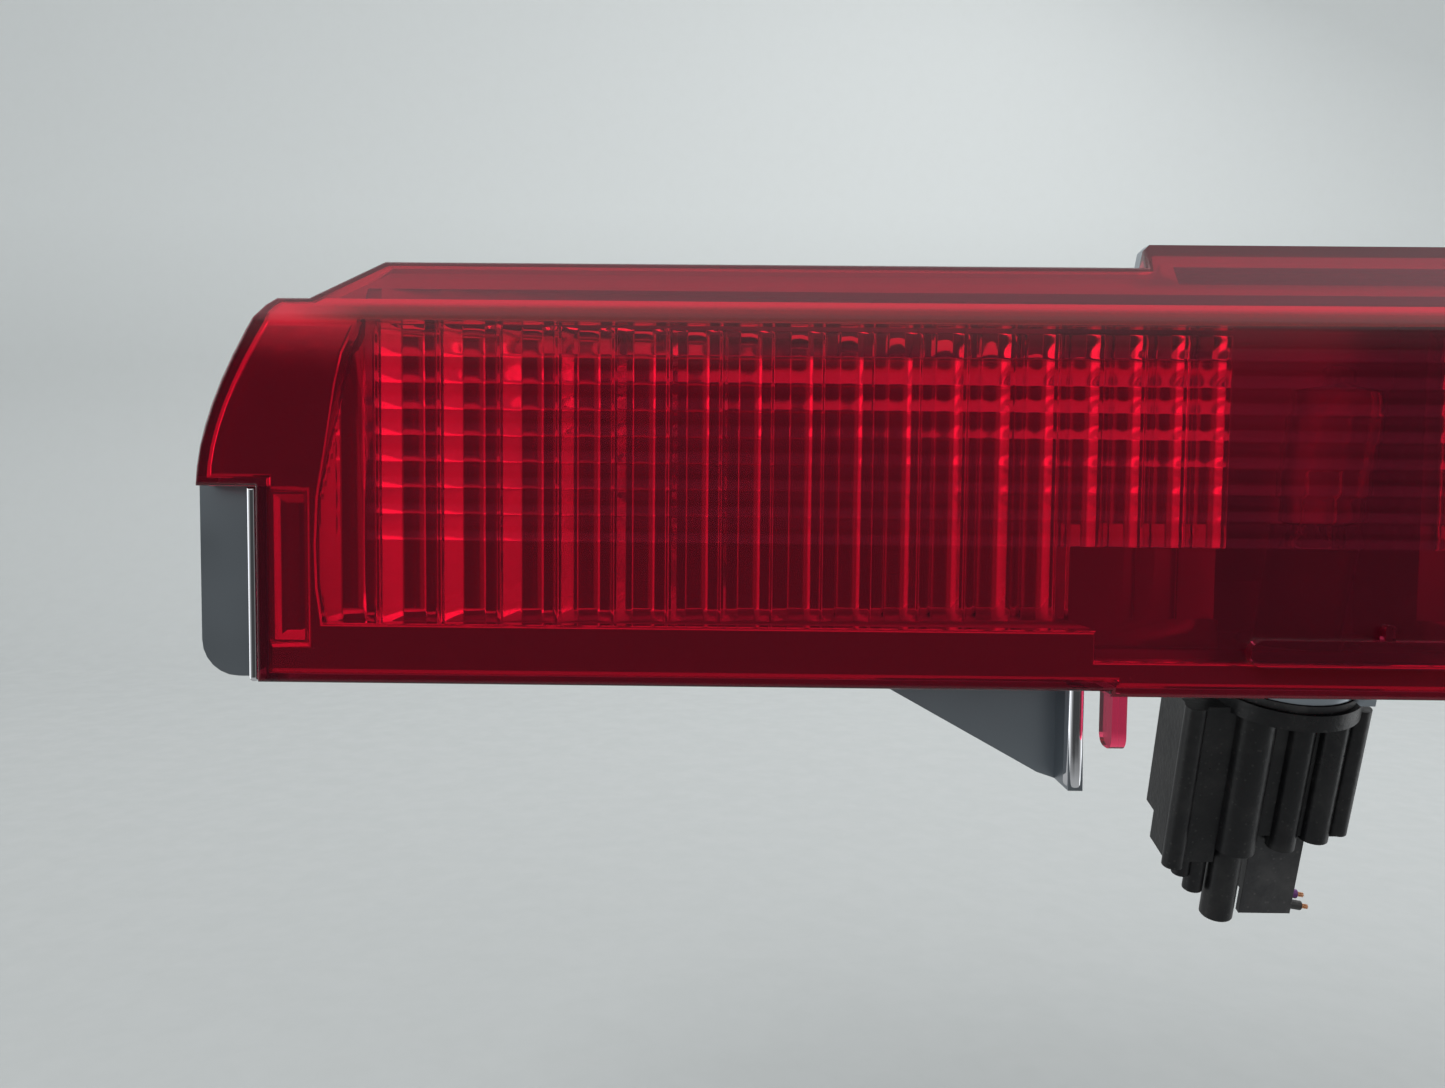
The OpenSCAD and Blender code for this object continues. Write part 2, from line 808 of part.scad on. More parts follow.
// A round tube swept along a path in X and Z, which moves back by lean on its way
module tube(path, y, lean, r, sides) {
    n = len(path);
    rings = [for (i = [0:n - 1]) let (
        w = way_at(path, i),
        mid_y = y + lean * max(0, min(1, (i - 1) / (n - 4)))
    ) for (a = [0:360 / sides:359]) [
        path[i][0] - w[1] * r * cos(a), mid_y + r * sin(a), path[i][1] + w[0] * r * cos(a)
    ]];
    walls = [for (i = [0:n - 2]) for (j = [0:sides - 1]) let (k = (j + 1) % sides) [
        i * sides + j, i * sides + k, (i + 1) * sides + k, (i + 1) * sides + j
    ]];
    ends = [[for (j = [sides - 1:-1:0]) j], [for (j = [0:sides - 1]) (n - 1) * sides + j]];
    polyhedron(points = rings, faces = concat(walls, ends));
}

module wire(i, drop, lean) {
    tube(wire_way(pole_x[i], drop), plug_y, lean, wire_d / 2, 12);
}

// The bare copper at a wire's cut end: one strand in the middle and six round it
module strands(i, drop, lean) {
    path = wire_way(pole_x[i], drop);
    end = path[len(path) - 1];
    translate([end[0], plug_y + lean, end[1]]) rotate([0, 180 - wire_turn, 0]) {
        cylinder(r = strand_r, h = strand_l);
        for (a = [0:60:300]) rotate([0, 0, a]) translate([strand_ring_r, 0, 0]) {
            cylinder(r = strand_r, h = strand_l);
        }
    }
}

module purple_wire() {
    color("indigo") on_bulb_axis() wire(0, purple_drop, purple_lean);
}

module black_wire() {
    color("dimgray") on_bulb_axis() wire(1, black_drop, 0);
}

module purple_wire_strands() {
    color("peru") on_bulb_axis() strands(0, purple_drop, purple_lean);
}

module black_wire_strands() {
    color("peru") on_bulb_axis() strands(1, black_drop, 0);
}

lens();
reflector_housing();
body_gasket();
threaded_inserts();
vent_cap();
vent_membrane();
mounting_clip_left();
mounting_clip_right();
bulb_holder();
holder_seal();
contact_left();
contact_right();
bulb_glass();
bulb_filament();
bulb_supports();
bulb_lead_wires();
plug_housing();
terminal_left();
terminal_right();
wire_seals();
purple_wire();
black_wire();
purple_wire_strands();
black_wire_strands();
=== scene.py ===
import json
import math

import bmesh
import bpy
from mathutils import Matrix, Vector


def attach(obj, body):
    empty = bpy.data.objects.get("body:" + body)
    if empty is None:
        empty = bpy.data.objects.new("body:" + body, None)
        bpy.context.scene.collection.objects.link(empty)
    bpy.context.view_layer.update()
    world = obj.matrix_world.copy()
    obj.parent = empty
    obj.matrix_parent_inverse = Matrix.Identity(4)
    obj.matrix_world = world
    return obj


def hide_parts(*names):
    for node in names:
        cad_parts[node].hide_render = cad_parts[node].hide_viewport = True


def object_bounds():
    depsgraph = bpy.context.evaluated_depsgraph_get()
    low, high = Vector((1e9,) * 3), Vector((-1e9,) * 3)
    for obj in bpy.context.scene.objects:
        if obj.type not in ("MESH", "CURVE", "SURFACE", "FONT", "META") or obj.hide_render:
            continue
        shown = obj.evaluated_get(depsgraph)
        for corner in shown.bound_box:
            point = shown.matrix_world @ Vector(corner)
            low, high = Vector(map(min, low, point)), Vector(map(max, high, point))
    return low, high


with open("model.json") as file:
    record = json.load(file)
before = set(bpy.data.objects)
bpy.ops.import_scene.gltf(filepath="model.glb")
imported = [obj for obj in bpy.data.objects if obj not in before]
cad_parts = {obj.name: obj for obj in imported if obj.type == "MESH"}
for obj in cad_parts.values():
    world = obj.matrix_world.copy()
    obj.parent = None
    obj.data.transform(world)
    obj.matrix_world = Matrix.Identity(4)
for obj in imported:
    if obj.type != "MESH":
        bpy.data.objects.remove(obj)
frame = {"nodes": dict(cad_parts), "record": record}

cadBox = [list(corner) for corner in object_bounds()]
scene = bpy.context.scene
nodes = frame["nodes"]
mm = 0.001
print("frame loaded:", len(nodes), "nodes")


def newMaterial(name, **values):
    mat = bpy.data.materials.new(name)
    mat.use_nodes = True
    shader = mat.node_tree.nodes["Principled BSDF"]
    for socket, value in values.items():
        shader.inputs[socket.replace("_", " ")].default_value = value
    return mat, mat.node_tree, shader


def newGroup(name, inputs, outputs):
    group = bpy.data.node_groups.new(name, "ShaderNodeTree")
    for kind, label, value in inputs:
        socket = group.interface.new_socket(label, in_out="INPUT", socket_type="NodeSocket" + kind)
        if value is not None:
            socket.default_value = value
    for kind, label in outputs:
        group.interface.new_socket(label, in_out="OUTPUT", socket_type="NodeSocket" + kind)
    return group, group.nodes.new("NodeGroupInput"), group.nodes.new("NodeGroupOutput")


def addNode(tree, kind, links=None, **settings):
    node = tree.nodes.new("ShaderNode" + kind)
    for key, value in settings.items():
        setattr(node, key, value)
    for socket, source in (links or {}).items():
        target = node.inputs[socket]
        if isinstance(source, bpy.types.NodeSocket):
            tree.links.new(source, target)
        else:
            target.default_value = source
    return node


def spread(tree, value, fromLow, fromHigh, toLow=0.0, toHigh=1.0, **settings):
    # value between fromLow and fromHigh becomes a value between toLow and toHigh
    node = addNode(tree, "MapRange", {
        "Value": value, "From Min": fromLow, "From Max": fromHigh, "To Min": toLow, "To Max": toHigh}, **settings)
    return node.outputs["Result"]


def placeGroup(tree, group, **values):
    node = tree.nodes.new("ShaderNodeGroup")
    node.node_tree = group
    tree.links.new(objectPoint(tree), node.inputs["Vector"])
    for socket, value in values.items():
        target = node.inputs[socket.replace("_", " ")]
        if isinstance(value, bpy.types.NodeSocket):
            tree.links.new(value, target)
        else:
            target.default_value = value
    return node


def objectPoint(tree):
    found = tree.nodes.get("Texture Coordinate") or tree.nodes.new("ShaderNodeTexCoord")
    return found.outputs["Object"]


def bumpFrom(tree, shader, height, strength, distance):
    bump = addNode(tree, "Bump", {"Height": height, "Strength": strength, "Distance": distance})
    tree.links.new(bump.outputs["Normal"], shader.inputs["Normal"])


def makeGrain():
    # fine moulded grain: a roughness value and a height
    group, given, result = newGroup("mouldGrain", [
        ("Vector", "Vector", None), ("Float", "Scale", 900.0), ("Float", "Low", 0.3), ("Float", "High", 0.45)],
        [("Float", "Roughness"), ("Float", "Height")])
    fine = addNode(group, "TexNoise", {
        "Vector": given.outputs["Vector"], "Scale": given.outputs["Scale"], "Detail": 3.0, "Roughness": 0.6})
    patch = addNode(group, "TexNoise", {"Vector": given.outputs["Vector"], "Scale": 60.0, "Detail": 2.0})
    both = addNode(group, "Math", {0: fine.outputs["Fac"], 1: patch.outputs["Fac"]}, operation="MULTIPLY_ADD")
    group.links.new(patch.outputs["Fac"], both.inputs[2])
    rough = spread(group, both.outputs[0], 0.45, 1.1, given.outputs["Low"], given.outputs["High"])
    group.links.new(rough, result.inputs["Roughness"])
    group.links.new(fine.outputs["Fac"], result.inputs["Height"])
    return group


def makeDust():
    # thin dust that settles in patches
    group, given, result = newGroup("dustFilm", [
        ("Vector", "Vector", None), ("Color", "Color", (0.1, 0.1, 0.1, 1)),
        ("Color", "Dust", (0.55, 0.52, 0.48, 1)), ("Float", "Amount", 0.2)], [("Color", "Color")])
    cloud = addNode(group, "TexNoise", {
        "Vector": given.outputs["Vector"], "Scale": 85.0, "Detail": 5.0, "Roughness": 0.7})
    specks = addNode(group, "TexVoronoi", {"Vector": given.outputs["Vector"], "Scale": 700.0})
    near = spread(group, specks.outputs["Distance"], 0.12, 0.2, 1.0, 0.0)
    soft = spread(group, cloud.outputs["Fac"], 0.45, 0.75)
    total = addNode(group, "Math", {0: near, 1: soft}, operation="ADD", use_clamp=True)
    mask = addNode(group, "Math", {0: total.outputs[0], 1: given.outputs["Amount"]}, operation="MULTIPLY")
    mix = addNode(group, "Mix", data_type="RGBA")
    group.links.new(mask.outputs[0], mix.inputs["Factor"])
    group.links.new(given.outputs["Color"], mix.inputs[6])
    group.links.new(given.outputs["Dust"], mix.inputs[7])
    group.links.new(mix.outputs[2], result.inputs["Color"])
    return group


def makeBrushed():
    # drawn or rolled lines that run along one axis
    group, given, result = newGroup("drawnLines", [
        ("Vector", "Vector", None), ("Vector", "Stretch", (20.0, 900.0, 900.0)),
        ("Float", "Low", 0.2), ("Float", "High", 0.4)], [("Float", "Roughness"), ("Float", "Height")])
    turned = addNode(group, "Mapping", {"Vector": given.outputs["Vector"], "Scale": given.outputs["Stretch"]})
    lines = addNode(group, "TexNoise", {"Vector": turned.outputs["Vector"], "Scale": 1.0, "Detail": 4.0})
    rough = spread(group, lines.outputs["Fac"], 0.3, 0.7, given.outputs["Low"], given.outputs["High"])
    group.links.new(rough, result.inputs["Roughness"])
    group.links.new(lines.outputs["Fac"], result.inputs["Height"])
    return group


grain, dust, drawn = makeGrain(), makeDust(), makeBrushed()


def plastic(name, color, low, high, dustAmount, bump, scale=900.0, **values):
    mat, tree, shader = newMaterial(name, **values)
    film = placeGroup(tree, dust, Color=color, Amount=dustAmount)
    skin = placeGroup(tree, grain, Scale=scale, Low=low, High=high)
    tree.links.new(film.outputs["Color"], shader.inputs["Base Color"])
    tree.links.new(skin.outputs["Roughness"], shader.inputs["Roughness"])
    bumpFrom(tree, shader, skin.outputs["Height"], bump, 0.0002)
    return mat


def metal(name, color, low, high, stretch, bump):
    mat, tree, shader = newMaterial(name, Metallic=1.0)
    tint = addNode(tree, "TexNoise", {"Vector": objectPoint(tree), "Scale": 120.0, "Detail": 4.0})
    mix = addNode(tree, "Mix", {"Factor": tint.outputs["Fac"]}, data_type="RGBA")
    mix.inputs[6].default_value = color
    mix.inputs[7].default_value = [c * 0.72 for c in color[:3]] + [1]
    lines = placeGroup(tree, drawn, Stretch=stretch, Low=low, High=high)
    tree.links.new(mix.outputs[2], shader.inputs["Base Color"])
    tree.links.new(lines.outputs["Roughness"], shader.inputs["Roughness"])
    bumpFrom(tree, shader, lines.outputs["Height"], bump, 0.0001)
    return mat


# thick is the colour painted as shade in the band along the crease
lensFinish = {
    "color": (0.87, 0.055, 0.15, 1), "thick": (0.3, 0.01, 0.03, 1), "ior": 1.49, "clear": 0.965,
    "low": 0.02, "high": 0.07, "crease": 0.0253, "creaseHalf": 0.0015, "creaseEnd": 0.175, "creaseFade": 0.012}


def makeLensRed():
    mat, tree, shader = newMaterial(
        "redAcrylic", Transmission_Weight=lensFinish["clear"], IOR=lensFinish["ior"])
    # painted shade: the tint is painted darker in a band along the crease under the top slope, where the wall is
    # thicker
    place = addNode(tree, "SeparateXYZ", {0: objectPoint(tree)})
    up = addNode(tree, "Math", {0: place.outputs["Z"], 1: lensFinish["crease"]}, operation="SUBTRACT")
    away = addNode(tree, "Math", {0: up.outputs[0]}, operation="ABSOLUTE")
    side = addNode(tree, "Math", {0: place.outputs["X"]}, operation="ABSOLUTE")
    line = spread(tree, away.outputs[0], lensFinish["creaseHalf"] * 0.6, lensFinish["creaseHalf"], 1.0, 0.0)
    ends = spread(
        tree, side.outputs[0], lensFinish["creaseEnd"] - lensFinish["creaseFade"], lensFinish["creaseEnd"], 1.0, 0.0)
    wall = addNode(tree, "Math", {0: line, 1: ends}, operation="MULTIPLY")
    tint = addNode(tree, "Mix", {"Factor": wall.outputs[0]}, data_type="RGBA")
    tint.inputs[6].default_value = lensFinish["color"]
    tint.inputs[7].default_value = lensFinish["thick"]
    tree.links.new(tint.outputs[2], shader.inputs["Base Color"])
    haze = placeGroup(tree, grain, Scale=140.0, Low=lensFinish["low"], High=lensFinish["high"])
    tree.links.new(haze.outputs["Roughness"], shader.inputs["Roughness"])
    # long faint hairline scratches from wiping
    turned = addNode(tree, "Mapping", {
        "Vector": objectPoint(tree), "Rotation": (0.0, 0.35, 0.0), "Scale": (18.0, 18.0, 1500.0)})
    lines = addNode(tree, "TexNoise", {"Vector": turned.outputs["Vector"], "Scale": 1.0, "Detail": 2.0})
    bumpFrom(tree, shader, lines.outputs["Fac"], 0.03, 0.00005)
    return mat


housingFinish = {"metal": (0.33, 0.365, 0.4, 1), "plastic": (0.055, 0.056, 0.06, 1), "rough": (0.26, 0.42)}


def makeHousing():
    # vacuum-metallised on every face that looks forwards, bare moulded plastic behind
    mat, tree, shader = newMaterial("metallisedHousing")
    faces = addNode(tree, "TexCoord")
    parts = addNode(tree, "SeparateXYZ", {0: faces.outputs["Normal"]})
    place = addNode(tree, "SeparateXYZ", {0: objectPoint(tree)})
    forward = spread(tree, parts.outputs["Y"], 0.15, 0.75, 1.0, 0.0)
    fade = spread(tree, place.outputs["Y"], -0.0085, -0.006, 1.0, 0.0)
    inside = spread(tree, parts.outputs["Y"], -0.7, -0.3, 1.0, 0.0)
    coat = addNode(tree, "Math", {0: fade, 1: inside}, operation="MAXIMUM")
    mask = addNode(tree, "Math", {0: coat.outputs[0], 1: forward}, operation="MULTIPLY")
    film = placeGroup(tree, dust, Color=housingFinish["plastic"], Amount=0.1)
    skin = placeGroup(tree, grain, Scale=500.0, Low=0.4, High=0.6)
    ripple = addNode(tree, "TexNoise", {"Vector": objectPoint(tree), "Scale": 55.0, "Detail": 2.0})
    gloss = spread(tree, ripple.outputs["Fac"], 0.0, 1.0, *housingFinish["rough"])
    color = addNode(tree, "Mix", {"Factor": mask.outputs[0]}, data_type="RGBA")
    tree.links.new(film.outputs["Color"], color.inputs[6])
    color.inputs[7].default_value = housingFinish["metal"]
    rough = addNode(tree, "Mix", {"Factor": mask.outputs[0]})
    tree.links.new(skin.outputs["Roughness"], rough.inputs["A"])
    tree.links.new(gloss, rough.inputs["B"])
    tree.links.new(color.outputs[2], shader.inputs["Base Color"])
    tree.links.new(rough.outputs[0], shader.inputs["Roughness"])
    tree.links.new(mask.outputs[0], shader.inputs["Metallic"])
    bumpFrom(tree, shader, ripple.outputs["Fac"], 0.06, 0.0004)
    return mat


mirrorFinish = {"bright": (0.9, 0.9, 0.93, 1), "pitted": (0.35, 0.33, 0.33, 1), "rough": (0.03, 0.09)}


def makeMirror():
    # evaporated aluminium, slightly rippled, with pinholes
    mat, tree, shader = newMaterial("mirrorCoat", Metallic=1.0)
    ripple = addNode(tree, "TexNoise", {"Vector": objectPoint(tree), "Scale": 70.0, "Detail": 3.0})
    specks = addNode(tree, "TexVoronoi", {"Vector": objectPoint(tree), "Scale": 260.0})
    pits = spread(tree, specks.outputs["Distance"], 0.01, 0.03, 0.4, 0.0)
    gloss = spread(tree, ripple.outputs["Fac"], 0.0, 1.0, *mirrorFinish["rough"])
    rough = addNode(tree, "Math", {0: gloss, 1: pits}, operation="ADD")
    mix = addNode(tree, "Mix", {"Factor": pits}, data_type="RGBA")
    mix.inputs[6].default_value = mirrorFinish["bright"]
    mix.inputs[7].default_value = mirrorFinish["pitted"]
    tree.links.new(mix.outputs[2], shader.inputs["Base Color"])
    tree.links.new(rough.outputs[0], shader.inputs["Roughness"])
    bumpFrom(tree, shader, ripple.outputs["Fac"], 0.1, 0.0005)
    return mat


def makeGlass():
    mat, tree, shader = newMaterial(
        "bulbGlass", Base_Color=(0.97, 0.98, 0.98, 1), Transmission_Weight=1.0, IOR=1.47)
    soot = placeGroup(tree, grain, Scale=60.0, Low=0.0, High=0.03)
    tree.links.new(soot.outputs["Roughness"], shader.inputs["Roughness"])
    bumpFrom(tree, shader, soot.outputs["Height"], 0.02, 0.0001)
    return mat


def makeFoam():
    mat, tree, shader = newMaterial("closedCellFoam", Sheen_Weight=0.2)
    cells = addNode(tree, "TexVoronoi", {"Vector": objectPoint(tree), "Scale": 1600.0}, feature="SMOOTH_F1")
    # painted shade: the cell pits, which the bump sinks, are painted darker than the cell walls
    pitShade = addNode(tree, "ValToRGB", {"Fac": cells.outputs["Distance"]})
    pitShade.color_ramp.elements[0].color = (0.012, 0.012, 0.013, 1)
    pitShade.color_ramp.elements[1].color = (0.06, 0.06, 0.063, 1)
    film = placeGroup(tree, dust, Amount=0.12, Color=pitShade.outputs["Color"])
    skin = placeGroup(tree, grain, Scale=400.0, Low=0.75, High=0.95)
    tree.links.new(film.outputs["Color"], shader.inputs["Base Color"])
    tree.links.new(skin.outputs["Roughness"], shader.inputs["Roughness"])
    bumpFrom(tree, shader, cells.outputs["Distance"], 0.6, 0.0004)
    return mat


finishes = {
    "red_lens": makeLensRed(),
    "mirror_housing": makeHousing(),
    "foam": makeFoam(),
    "insert_brass": metal("turnedBrass", (0.78, 0.56, 0.25, 1), 0.2, 0.38, (300.0, 2500.0, 300.0), 0.15),
    "vent_plastic": plastic("ventPlastic", (0.02, 0.02, 0.021, 1), 0.4, 0.6, 0.08, 0.3),
    "membrane": plastic("ventMembrane", (0.75, 0.75, 0.73, 1), 0.7, 0.9, 0.1, 0.5, scale=1500.0),
    "clip_steel": metal("springSteel", (0.5, 0.5, 0.52, 1), 0.22, 0.42, (2400.0, 40.0, 2400.0), 0.2),
    "holder_plastic": plastic(
        "holderBlack", (0.008, 0.008, 0.009, 1), 0.26, 0.42, 0.03, 0.35, Specular_IOR_Level=0.3),
    "seal_rubber": plastic("sealRubber", (0.02, 0.02, 0.022, 1), 0.55, 0.75, 0.12, 0.25, scale=500.0),
    "contact_bronze": metal("contactBronze", (0.72, 0.52, 0.3, 1), 0.2, 0.36, (2000.0, 2000.0, 60.0), 0.15),
    "bulb_clear": makeGlass(),
    "bulb_wire": metal("nickelWire", (0.55, 0.54, 0.52, 1), 0.18, 0.34, (900.0, 900.0, 900.0), 0.15),
    "plug_plastic": plastic("plugBlack", (0.018, 0.018, 0.02, 1), 0.35, 0.5, 0.06, 0.3),
    "wire_purple": plastic("wirePurple", (0.12, 0.02, 0.16, 1), 0.35, 0.5, 0.06, 0.2, Coat_Weight=0.1),
    "wire_black": plastic("wireBlack", (0.012, 0.012, 0.013, 1), 0.35, 0.5, 0.06, 0.2, Coat_Weight=0.1),
    "copper": metal("strandCopper", (0.85, 0.42, 0.22, 1), 0.18, 0.34, (900.0, 900.0, 900.0), 0.15),
}
mirrorCoat = makeMirror()
print("finishes ready:", len(finishes))


def setFinish(obj, mat):
    obj.data.materials.clear()
    obj.data.materials.append(mat)


def finishPiece(bm, name, body, slot, mat=None, angle=35.0, node=None):
    # a bmesh becomes a piece that rides on its body and may stand for a CAD node
    mesh = bpy.data.meshes.new(name)
    bm.to_mesh(mesh)
    bm.free()
    mesh.shade_smooth()
    mesh.set_sharp_from_angle(angle=math.radians(angle))
    obj = bpy.data.objects.new(name, mesh)
    scene.collection.objects.link(obj)
    setFinish(obj, mat or finishes[slot])
    flat = obj.modifiers.new("flatFaces", "WEIGHTED_NORMAL")
    flat.weight = 100
    flat.keep_sharp = True
    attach(obj, body)
    if node:
        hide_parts(node)
    return obj


def nodeCopy(node):
    bm = bmesh.new()
    bm.from_mesh(nodes[node].data)
    bmesh.ops.remove_doubles(bm, verts=bm.verts, dist=2e-6)
    bmesh.ops.dissolve_limit(bm, angle_limit=math.radians(0.6), verts=bm.verts, edges=bm.edges)
    return bm


def roundEdges(obj, width, angle, segments=2):
    edge = obj.modifiers.new("roundEdges", "BEVEL")
    obj.modifiers.move(1, 0)
    edge.width = width
    edge.segments = segments
    edge.limit_method = "ANGLE"
    edge.angle_limit = math.radians(angle)
    edge.use_clamp_overlap = True


# CAD nodes finished from a merged copy: its name, body, slot, edge radius in mm (0 for none) and least edge angle
moulded = {
    "reflector_housing": ("housingShell", "housing", "mirror_housing", 0.0, 50),
    "bulb_holder": ("holderBody", "holder", "holder_plastic", 0.4, 40),
    "plug_housing": ("plugBody", "plug", "plug_plastic", 0.25, 40),
    "vent_cap": ("ventCap", "housing", "vent_plastic", 0.25, 40),
    "body_gasket": ("foamRing", "housing", "foam", 0.4, 40),
    "bulb_glass": ("bulbEnvelope", "bulb", "bulb_clear", 0.2, 45),
    "purple_wire": ("wireInPurple", "plug", "wire_purple", 0.0, 60),
    "black_wire": ("wireInBlack", "plug", "wire_black", 0.0, 60),
}
pressed = {"y": -18.0, "half": 182.1, "low": -34.1, "high": -2.3}


def makeMoulded():
    for node, (name, body, slot, radius, angle) in moulded.items():
        bm = nodeCopy(node)
        if node == "reflector_housing":
            # the polished face plate stands ahead of this one, so its raised frames are pressed flat
            for v in bm.verts:
                near = abs(v.co.x) < pressed["half"] * mm and pressed["low"] * mm < v.co.z < pressed["high"] * mm
                if near and v.co.y < (pressed["y"] - 0.001) * mm:
                    v.co.y = pressed["y"] * mm
        obj = finishPiece(bm, name, body, slot, node=node, angle=40.0)
        if radius:
            roundEdges(obj, radius * mm, angle)


makeMoulded()
print("moulded pieces ready")


# shapes are in millimetres until combine or a last scale brings them to metres
lens = {
    "half": 190.0, "top": 35.0, "low": -34.0, "lip": -34.9, "lipHalf": 43.0, "front": -24.0, "rim": -11.0,
    "crease": 24.5, "slope": (10.5, 9.0), "crown": (36.1, 39.4), "notch": (9.6, -2.4), "shoulder": 28.0,
    "wall": 1.3, "frontWall": 2.6, "slopeWall": 1.9, "round": 0.7,
    "side": {"belly": 0.6, "lean": 10.9, "middle": 11.9, "drop": 1.3}, "corners": (12.4, 17.6, 28),
    "rows": 8, "rowLow": -11.0, "rowEnd": 163.0, "rowGap": 1.4, "rowSunk": 0.6, "sag": 0.25,
    "gateRib": ((-22, -26, -29.6), (22, -23.2, -25.2), 2.15), "spike": ((-0.7, -25.6, -26), (0.9, -23.2, -22.6), 0.7),
    "legs": (-42.7, 40.3), "leg": ((0, -23.6, -43.7), (2.4, -17.5, -34.2), 2.2),
}


def bothHalves(half):
    return half + [(-x, z) for x, z in reversed(half) if x < 0]


def lensOutline(m):
    # the lens seen from the front, m millimetres inside its outer skin
    left, notch, side, corners = lens["half"], lens["notch"], lens["side"], lens["corners"]
    half = [(0, lens["lip"] + m), (m - lens["lipHalf"], lens["lip"] + m), (m - lens["lipHalf"], lens["low"] + m),
            (m - left + notch[0], lens["low"] + m), (m - left + notch[0], m + notch[1]), (m - left, m + notch[1])]
    for i in range(1, 9):
        t = i / 8  # up the curved side, from the notch to the shoulder
        x = -left + side["belly"] * t * (1 - t) + side["lean"] * t * t
        z = 2 * (notch[1] + side["middle"]) * t * (1 - t) + notch[1] * (1 - t) ** 2
        z += (lens["shoulder"] - side["drop"]) * t * t
        half.append((x + 0.95 * m, z + m * (0.3 - 0.9 * t)))
    half += [(m * 0.5 - left + corners[0], lens["shoulder"] - m), (m * 0.2 - left + corners[1], lens["shoulder"] - m),
             (m * 0.35 - left + corners[2], lens["top"] - m), (m - lens["crown"][0], lens["top"] - m),
             (m - lens["crown"][0] + 0.6, lens["crown"][1] - 1 - m),
             (m - lens["crown"][0] + 1.6, lens["crown"][1] - m), (0, lens["crown"][1] - m)]
    return bothHalves(half)


def prism(outline, y0, y1):
    bm = bmesh.new()
    face = bm.faces.new([bm.verts.new((x, y0, z)) for x, z in outline])
    moved = bmesh.ops.extrude_face_region(bm, geom=[face])["geom"]
    bmesh.ops.translate(bm, verts=[g for g in moved if isinstance(g, bmesh.types.BMVert)], vec=(0, y1 - y0, 0))
    bmesh.ops.recalc_face_normals(bm, faces=bm.faces)
    return bm


def box(low, high):
    return prism([(low[0], low[2]), (high[0], low[2]), (high[0], high[2]), (low[0], high[2])], low[1], high[1])


def slopeCut(bm, inset):
    # cuts the sloping band along the top, parallel to it and inset millimetres inside
    normal = Vector((0, -lens["slope"][0], lens["slope"][1])).normalized()
    place = Vector((0, lens["front"], lens["crease"])) - normal * inset
    cut = bmesh.ops.bisect_plane(
        bm, geom=bm.verts[:] + bm.edges[:] + bm.faces[:], plane_co=place, plane_no=normal, clear_outer=True)
    bmesh.ops.edgeloop_fill(bm, edges=[g for g in cut["geom_cut"] if isinstance(g, bmesh.types.BMEdge)])
    bmesh.ops.recalc_face_normals(bm, faces=bm.faces)
    return bm


def asObject(bm):
    mesh = bpy.data.meshes.new("tool")
    bm.to_mesh(mesh)
    bm.free()
    obj = bpy.data.objects.new("tool", mesh)
    scene.collection.objects.link(obj)
    return obj


def combine(first, steps):
    # first, then each (operation, shape) in turn
    base = asObject(first)
    for operation, shape in steps:
        tool = asObject(shape)
        step = base.modifiers.new("combine", "BOOLEAN")
        step.operation, step.object, step.solver = operation, tool, "EXACT"
        made = bpy.data.meshes.new_from_object(base.evaluated_get(bpy.context.evaluated_depsgraph_get()))
        base.modifiers.clear()
        base.data = made
        bpy.data.objects.remove(tool)
    bm = bmesh.new()
    bm.from_mesh(base.data)
    bpy.data.objects.remove(base)
    bmesh.ops.remove_doubles(bm, verts=bm.verts, dist=0.001)
    bmesh.ops.scale(bm, verts=bm.verts, vec=(mm, mm, mm))
    return bm


def opticRows():
    # half-round rows moulded inside the front face
    low, pitch = lens["rowLow"], (lens["crease"] - lens["rowGap"] - lens["rowLow"]) / lens["rows"]
    inner = lens["front"] + lens["frontWall"]
    sunk = lens["rowSunk"]  # how far the rows reach into the wall they join
    bm = bmesh.new()
    section = [(inner - sunk, low)]
    for i in range(lens["rows"] * 12 + 1):
        section.append((inner + lens["sag"] * abs(math.sin(math.pi * i / 12)), low + pitch * i / 12))
    section.append((inner - sunk, section[-1][1]))
    face = bm.faces.new([bm.verts.new((-lens["rowEnd"], y, z)) for y, z in section])
    moved = bmesh.ops.extrude_face_region(bm, geom=[face])["geom"]
    vertsMoved = [g for g in moved if isinstance(g, bmesh.types.BMVert)]
    bmesh.ops.translate(bm, verts=vertsMoved, vec=(2 * lens["rowEnd"], 0, 0))
    bmesh.ops.recalc_face_normals(bm, faces=bm.faces)
    return bm


def roundedPlate(low, high, radius, axis=None):
    # a box with its corners rounded about Y, or else its lower corners about X
    bm = box(low, high)
    if axis == "Y":
        edges = [e for e in bm.edges if abs(e.verts[0].co.y - e.verts[1].co.y) > 0.01]
    else:
        middle = (low[2] + high[2]) / 2
        edges = [e for e in bm.edges if abs(e.verts[0].co.x - e.verts[1].co.x) > 0.01 and e.verts[0].co.z < middle]
    bmesh.ops.bevel(bm, geom=edges, offset=radius, segments=6, profile=0.5, affect="EDGES", material=-1)
    return bm


